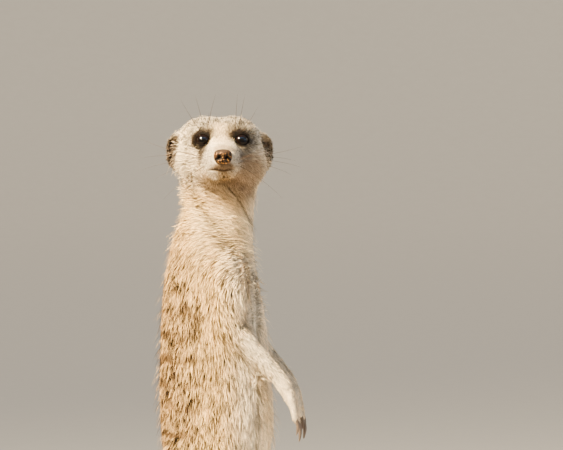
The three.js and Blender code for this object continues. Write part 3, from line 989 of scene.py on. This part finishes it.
def streaks(points, ways, width, length):
    """A random shade for each point, from 0 to 1, much the same for neighbours along the lie."""
    points = points / width + random.normal(0, 0.2, points.shape)
    shade = random.normal(0, 0.3, len(points))
    reach = round(0.3 * length / width)
    for step in range(-reach, reach + 1):
        cell = np.floor(points + ways * step)
        shade += np.abs(np.sin(cell @ [12.9898, 78.233, 37.719]) * 43758.5453) % 1
    return np.argsort(np.argsort(shade)) / len(points)


def grow(pelt, chosen, tuft, streak=STREAK):
    """Tufts of so many hairs each over the chosen triangles. Each hair is a thin blade."""
    hairs = pelt.hairs * chosen
    count = int(hairs.sum() / tuft)
    if not count:
        return None
    triangle = random.choice(len(hairs), count, p=hairs / hairs.sum())
    root = np.sqrt(random.random(count))
    slide = random.random(count)
    shares = np.stack([1 - root, root * (1 - slide), root * slide], axis=1)[:, :, None]
    at = pelt.corners[triangle]

    def here(values):
        return (values[at].reshape(count, 3, -1) * shares).sum(axis=1)

    root = here(pelt.points)
    normal = unit(here(pelt.normals))
    turn = random.normal(0, 0.15, count)[:, None]
    lie, arch, turned = here(pelt.lie), here(pelt.arch), here(pelt.turned)
    lie = np.where(is_mixed(turned), arch * np.where(random.random((count, 1)) < turned, -1, 1), lie)
    lie = unit(lie - normal * np.sum(lie * normal, axis=1, keepdims=True))
    side = np.cross(normal, lie)
    lie, side = lie * np.cos(turn) + side * np.sin(turn), side * np.cos(turn) - lie * np.sin(turn)
    length = here(pelt.length) * MM * random.uniform(0.85, 1.15, (count, 1))
    depth = here(pelt.depth) * MM
    end, end_normal = pelt.nearest(root + lie * length)
    patch = (pelt.unwrap[pelt.loops[triangle]] * shares).sum(axis=1)
    spread = 1.15 * MM * np.sqrt(tuft / math.pi / np.maximum(here(pelt.density), 0.5))
    tuft_shade = streaks(root, lie, streak, length.mean())

    # From here on, one row for each hair of each tuft.
    def each(values):
        return np.repeat(values, tuft, axis=0)

    total = count * tuft
    turn, reach = random.random(total) * 2 * math.pi, np.sqrt(random.random(total))
    beside = each(side * spread) * (0.36 * np.cos(turn) * reach)[:, None]
    offset = beside + each(lie * spread) * (1.6 * np.sin(turn) * reach)[:, None]
    stray = random.random((total, 1)) < each(here(pelt.strays))
    lift = each(random.uniform(0.65, 1.0, (count, 1))) * random.uniform(0.75, 1.0, (total, 1))
    rise = each(depth) * lift * (1 + 0.9 * stray)
    start = each(root) + offset - each(normal) * ROOT
    finish = each(end) + offset - 0.7 * beside + each(end_normal) * rise
    finish = start + (finish - start) * (random.uniform(0.72, 1.0, (total, 1)) + 0.3 * stray)
    bend = start + each(lie * length) * 0.45 + each(normal) * rise * 0.75
    roll = np.clip(random.normal(0, 0.5, (total, 1)), -1.2, 1.2)
    flat = each(side) * np.cos(roll) + each(normal) * np.sin(roll)
    width = each(here(pelt.width)) * MM * random.uniform(0.8, 1.25, (total, 1))
    points, shading, along, across = [], [], [], []
    for share, girth in HAIR:
        place = start * (1 - share) ** 2 + bend * 2 * share * (1 - share) + finish * share ** 2
        run = unit((bend - start) * (1 - share) + (finish - bend) * share)
        outward = unit(each(normal) * (1 - share) + each(end_normal) * share)
        facing = unit(0.25 * outward + 0.75 * np.cross(run, flat))
        for hand in (-0.5, 0.5) if girth else (0,):
            points.append(place + flat * width * girth * hand)
            shading.append(facing)
            along.append(share)
            across.append(hand)
    stack = len(points)
    points = np.stack(points, axis=1).reshape(-1, 3)
    points[:, 2] = np.maximum(points[:, 2], 0.0)
    uv = np.stack([np.array(across), np.array(along) - 0.5], axis=1) * PATCH
    uv = np.clip(each(patch)[:, None, :] + uv[None], 0, 1)
    faces = [[k, k + 2, k + 3, k + 1] for k in range(0, stack - 3, 2)]
    faces.append([stack - 2, stack - 3, stack - 1])
    return {
        "points": points,
        "shading": np.stack(shading, axis=1).reshape(-1, 3),
        "along": np.tile(along, total),
        "strand": np.repeat(0.75 * each(tuft_shade) + 0.25 * random.random(total), stack),
        "root": np.repeat(start, stack, axis=0),
        "fold": np.repeat(each(here(pelt.fold)), stack),
        "uv": uv.reshape(-1, 2),
        "faces": faces,
        "stack": stack,
        "total": total,
    }


def sew(name, groups, material):
    """One mesh from groups of hairs."""
    groups = [group for group in groups if group]
    loops, starts = [], []
    first_point = first_loop = 0
    for group in groups:
        base = first_point + np.arange(group["total"])[:, None] * group["stack"]
        pattern = np.concatenate(group["faces"])
        loops.append((base + pattern).ravel())
        sizes = np.array([len(face) for face in group["faces"]])
        offsets = np.concatenate([[0], np.cumsum(sizes)[:-1]])
        starts.append((first_loop + np.arange(group["total"])[:, None] * sizes.sum() + offsets).ravel())
        first_point += len(group["points"])
        first_loop += group["total"] * sizes.sum()
    loops, starts = np.concatenate(loops), np.concatenate(starts)
    joined = {key: np.concatenate([group[key] for group in groups])
              for key in ("points", "shading", "along", "strand", "root", "fold", "uv")}
    mesh = bpy.data.meshes.new(name)
    mesh.vertices.add(first_point)
    mesh.loops.add(len(loops))
    mesh.polygons.add(len(starts))
    mesh.vertices.foreach_set("co", joined["points"].astype(np.float32).ravel())
    mesh.loops.foreach_set("vertex_index", loops.astype(np.int32))
    mesh.polygons.foreach_set("loop_start", starts.astype(np.int32))
    mesh.update(calc_edges=True)
    layer = mesh.uv_layers.new(name="OFBake")
    layer.data.foreach_set("uv", joined["uv"][loops].astype(np.float32).ravel())
    for key in ("along", "strand", "fold"):
        write(mesh, key, "FLOAT", joined[key])
    write(mesh, "root", "FLOAT_VECTOR", joined["root"])
    write(mesh, "custom_normal", "FLOAT_VECTOR", joined["shading"])
    mesh.materials.append(material)
    piece = add_object(name, mesh)
    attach(piece, "root")


def make_coat(pelt):
    material = fur_finish()
    face = in_face(pelt.middle)
    names = np.array([part_of(node) for node in FLESH])[pelt.node]
    left = pelt.middle[:, 0] > 0
    high = pelt.middle[:, 2] > 160 * MM
    head, trunk = names == "head", names == "trunk"
    muzzle = face[:, 1] < 6
    arm = np.isin(names, ["upper_arm", "forearm"])
    leg = np.isin(names, ["thigh", "shin"])
    tail = np.char.startswith(names, "tail")
    regions = {
        "coat_face": [(head & muzzle, 5, FINE_STREAK)],
        "coat_crown": [(head & ~muzzle, 5, FINE_STREAK)],
        "coat_ears": [(names == "ear", 4, FINE_STREAK)],
        "coat_neck": [(names == "neck", 4)],
        "coat_shoulder_left": [(trunk & high & left, 4)],
        "coat_shoulder_right": [(trunk & high & ~left, 4)],
        "coat_loin_left": [(trunk & ~high & left, 5)],
        "coat_loin_right": [(trunk & ~high & ~left, 5)],
        "coat_arms": [(arm, 5), (names == "hand", 4)],
        "coat_leg_left": [(leg & left, 8), ((names == "foot") & left, 5)],
        "coat_leg_right": [(leg & ~left, 8), ((names == "foot") & ~left, 5)],
        "coat_tail": [(tail, 7)],
    }
    for name, groups in regions.items():
        sew(name, [grow(pelt, *group) for group in groups], material)


# ---- eyes, nose and claws ----
def refined(node, name, material):
    """A CAD node's own shape with its facets rounded."""
    piece = copy_of(node, name)
    add_modifier(piece, "SUBSURF", levels=2, render_levels=2)
    piece.data.shade_smooth()
    piece.data.materials.append(material)
    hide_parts(node)
    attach(piece, "root")
    return piece


def gaze_of(side):
    return unit([side * 0.22, -1, 0.2]) @ FACE


def eye_finish(name, side):
    eye = Finish(name, roughness=0.4, specular=0.0, gloss_roughness=0.03)
    offset = eye.vector("SUBTRACT", eye.coordinates(), tuple(from_face(eye_axes(side)[0])))
    offset = eye.vector("DIVIDE", offset, (EYE_RADIUS * MM,) * 3)
    gaze = gaze_of(side)
    right = unit(np.cross(gaze, UP))
    across = eye.vector("DOT_PRODUCT", offset, tuple(right), output=1)
    above = eye.vector("DOT_PRODUCT", offset, tuple(np.cross(right, gaze)), output=1)
    plane = eye.joined(across, above, 0.0)
    pupil = eye.vector("LENGTH", eye.vector("DIVIDE", plane, (0.44, 0.34, 1)), output=1)
    rim = eye.vector("LENGTH", plane, output=1)
    rays = eye.noise(plane, scale=14, detail=3)
    iris = eye.mix(rays, (0.002, 0.0012, 0.001), (0.007, 0.0034, 0.002))
    colour = eye.mix(eye.step(rim, 0.60, 0.70), iris, (0.006, 0.004, 0.003))
    colour = eye.mix(eye.step(pupil, 0.92, 1.08), (0.002, 0.002, 0.002), colour)
    eye.colour(colour)
    eye.link("Coat Weight", 0.25 + 0.75 * eye.step(above, -0.15, 0.12))
    return eye.material


def make_eye(name, side):
    bpy.ops.object.select_all(action="DESELECT")
    bpy.ops.mesh.primitive_uv_sphere_add(segments=48, ring_count=32, radius=EYE_RADIUS * MM)
    eye = bpy.context.object
    eye.name = f"eyeball_{name}"
    eye.rotation_euler = Vector(gaze_of(side)).to_track_quat("Z", "Y").to_euler()
    eye.location = Vector(from_face(eye_axes(side)[0]))
    points = places(eye)
    front = ramp(points[:, 2] / MM / EYE_RADIUS, 0.70, 0.98)
    move_to(eye, points * (1 + 0.08 * front)[:, None])
    bpy.ops.object.transform_apply(location=True, rotation=True, scale=True)
    eye.data.shade_smooth()
    eye.data.materials.append(eye_finish(f"eye_{name}", side))
    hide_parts(f"eye_{name}")
    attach(eye, "root")


def nose_finish():
    nose = Finish("nose", roughness=0.55, specular=0.15)
    place = nose.coordinates()
    pebble = nose.node("ShaderNodeTexVoronoi", {}, {"Vector": place, "Scale": 1500.0})
    grain = nose.noise(place, scale=800, detail=4)
    colour = nose.mix(nose.step(grain, 0.42, 0.60), (0.006, 0.004, 0.003), (0.030, 0.013, 0.006))
    sand = nose.noise(place, scale=1300, detail=1)
    colour = nose.mix(nose.step(sand, 0.60, 0.68), colour, (0.60, 0.25, 0.03))
    top = nose.mix(grain, (0.010, 0.006, 0.004), (0.06, 0.035, 0.022))
    colour = nose.mix(nose.attribute("top"), colour, top)
    # Painted shade: the nostril pits as dark as the darkest leather.
    colour = nose.mix(nose.attribute("pit"), colour, (0.006, 0.004, 0.003))
    nose.colour(colour)
    nose.bump(pebble, strength=0.6, distance=0.0003)
    return nose.material


def make_nose():
    """A leather pad, broad above and narrow below, with two nostrils that curl outwards."""
    bpy.ops.object.select_all(action="DESELECT")
    bpy.ops.mesh.primitive_ico_sphere_add(subdivisions=6, radius=1)
    nose = bpy.context.object
    nose.name = "nose_pad"
    ball = places(nose)
    square = np.sign(ball) * np.abs(ball) ** np.array([0.62, 0.85, 0.62])
    x, y, z = (square / np.linalg.norm(square, axis=1, keepdims=True) ** 0.4).T
    x = x * (1 + 0.05 * z)
    face = np.stack([x, y, z], axis=1) * NOSE_HALF
    front = ramp(y, 0.1, -0.4)
    across, above = np.abs(face[:, 0]), face[:, 2]
    pit = np.exp(-((across - 2.05) / 1.1) ** 2 - ((above + 0.3) / 1.1) ** 2)
    slit = np.exp(-((across - 3.7) / 1.3) ** 2 - ((above + 1.3 + 0.25 * (across - 3.7)) / 0.5) ** 2)
    pit = np.maximum(pit, 0.75 * slit) * front
    groove = 0.45 * hill(across / 0.45) * ramp(above, 0.5, -1.5) * front
    face[:, 1] += 2.7 * pit + groove
    write(nose.data, "pit", "FLOAT", ramp(pit, 0.12, 0.4))
    write(nose.data, "top", "FLOAT", ramp(z, 0.40, 0.72))
    move_to(nose, from_face(face + NOSE_AT))
    select_only(nose)
    nose.data.shade_smooth()
    nose.data.materials.append(nose_finish())
    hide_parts("nose")
    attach(nose, "root")


# ---- whiskers ----
# Each row: where it starts on the face and where it ends, in millimetres left of, behind and above the
# point between the eyes, and how far its middle bends upwards.
WHISKERS = [
    ((10.5, -11.0, -9.5), (47.0, 4.0, -1.0), -3.0),
    ((10.5, -11.0, -11.0), (45.0, -6.0, -10.0), 3.5),
    ((10.5, -11.0, -12.5), (46.0, 0.0, -16.0), 4.0),
    ((9.5, -13.0, -13.5), (40.0, -10.0, -23.0), 4.0),
    ((9.0, -14.0, -15.0), (34.0, -8.0, -32.0), 3.0),
    ((8.5, -16.0, -12.0), (30.0, -16.0, -6.0), 3.0),
    ((7.5, -17.0, -13.5), (28.0, -18.0, -17.0), 3.0),
    ((13.5, 1.0, 7.5), (22.0, -2.0, 20.0), -1.5),
    ((11.0, 0.0, 8.5), (13.5, -5.0, 25.5), 2.0),
    ((8.5, -1.0, 8.5), (6.5, -7.0, 26.0), 2.5),
]
WHISKER_RADIUS = 0.16


def make_whiskers(pelt):
    """Thin stiff hairs, each a tapered tube with five sides."""
    sides, rings = 5, 12
    circle = np.radians(np.arange(sides) * 360 / sides)
    points, faces = [], []
    for side in SIDES.values():
        for start, end, bend in WHISKERS:
            start, end = np.array(start) * [side, 1, 1], np.array(end) * [side, 1, 1]
            end = end + random.normal(0, 1.5, 3)
            start = in_face(pelt.nearest([from_face(start)])[0])[0]
            middle = (start + end) / 2 + [0, 0, bend]
            first = len(points)
            for ring in range(rings):
                share = ring / (rings - 1)
                spine = start * (1 - share) ** 2 + middle * 2 * share * (1 - share) + end * share ** 2
                run = unit((middle - start) * (1 - share) + (end - middle) * share)
                one = unit(np.cross(run, [0.1, 1, 0.2]))
                other = np.cross(run, one)
                radius = WHISKER_RADIUS * (1 - 0.85 * share)
                points += [spine + radius * (one * math.cos(a) + other * math.sin(a)) for a in circle]
            for ring in range(rings - 1):
                for k in range(sides):
                    low, high = first + ring * sides, first + (ring + 1) * sides
                    nearer, further = k, (k + 1) % sides
                    faces.append([low + nearer, low + further, high + further, high + nearer])
            faces.append([first + k for k in reversed(range(sides))])
            faces.append([len(points) - sides + k for k in range(sides)])
    mesh = bpy.data.meshes.new("whiskers")
    mesh.from_pydata(from_face(np.array(points)).tolist(), [], faces)
    mesh.shade_smooth()
    whiskers = add_object("whiskers", mesh)
    finish = Finish("whisker", roughness=0.5, specular=0.2)
    shade = finish.noise(finish.coordinates(), scale=300)
    finish.colour(finish.mix(shade, (0.02, 0.012, 0.008), (0.07, 0.04, 0.022)))
    mesh.materials.append(finish.material)
    unwrap(whiskers)
    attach(whiskers, "root")


def claw_finish():
    claw = Finish("claw", roughness=0.38, specular=0.5)
    place = claw.coordinates()
    streak = claw.noise(claw.vector("MULTIPLY", place, (1, 1, 0.25)), scale=1500, detail=3)
    claw.colour(claw.mix(streak, (0.035, 0.024, 0.018), (0.14, 0.095, 0.065)))
    claw.bump(streak, strength=0.3, distance=0.0001)
    return claw.material


set_camera()
set_studio()
skin = make_skin()
dress_skin(skin)
unwrap(skin)
pelt = Pelt(skin)
write(skin.data, "root", "FLOAT_VECTOR", pelt.points)
# The fold attribute carries the painted shade in the creases.
write(skin.data, "fold", "FLOAT", pelt.fold)
write(skin.data, "bare", "FLOAT", bare_of(in_face(pelt.points)))
skin.data.materials.append(skin_finish())
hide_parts(*FLESH)
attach(skin, "root")
make_coat(pelt)
for name, side in SIDES.items():
    make_eye(name, side)
make_nose()
make_whiskers(pelt)
horn = claw_finish()
for node in CLAWS:
    refined(node, node.replace("claw", "talon"), horn)
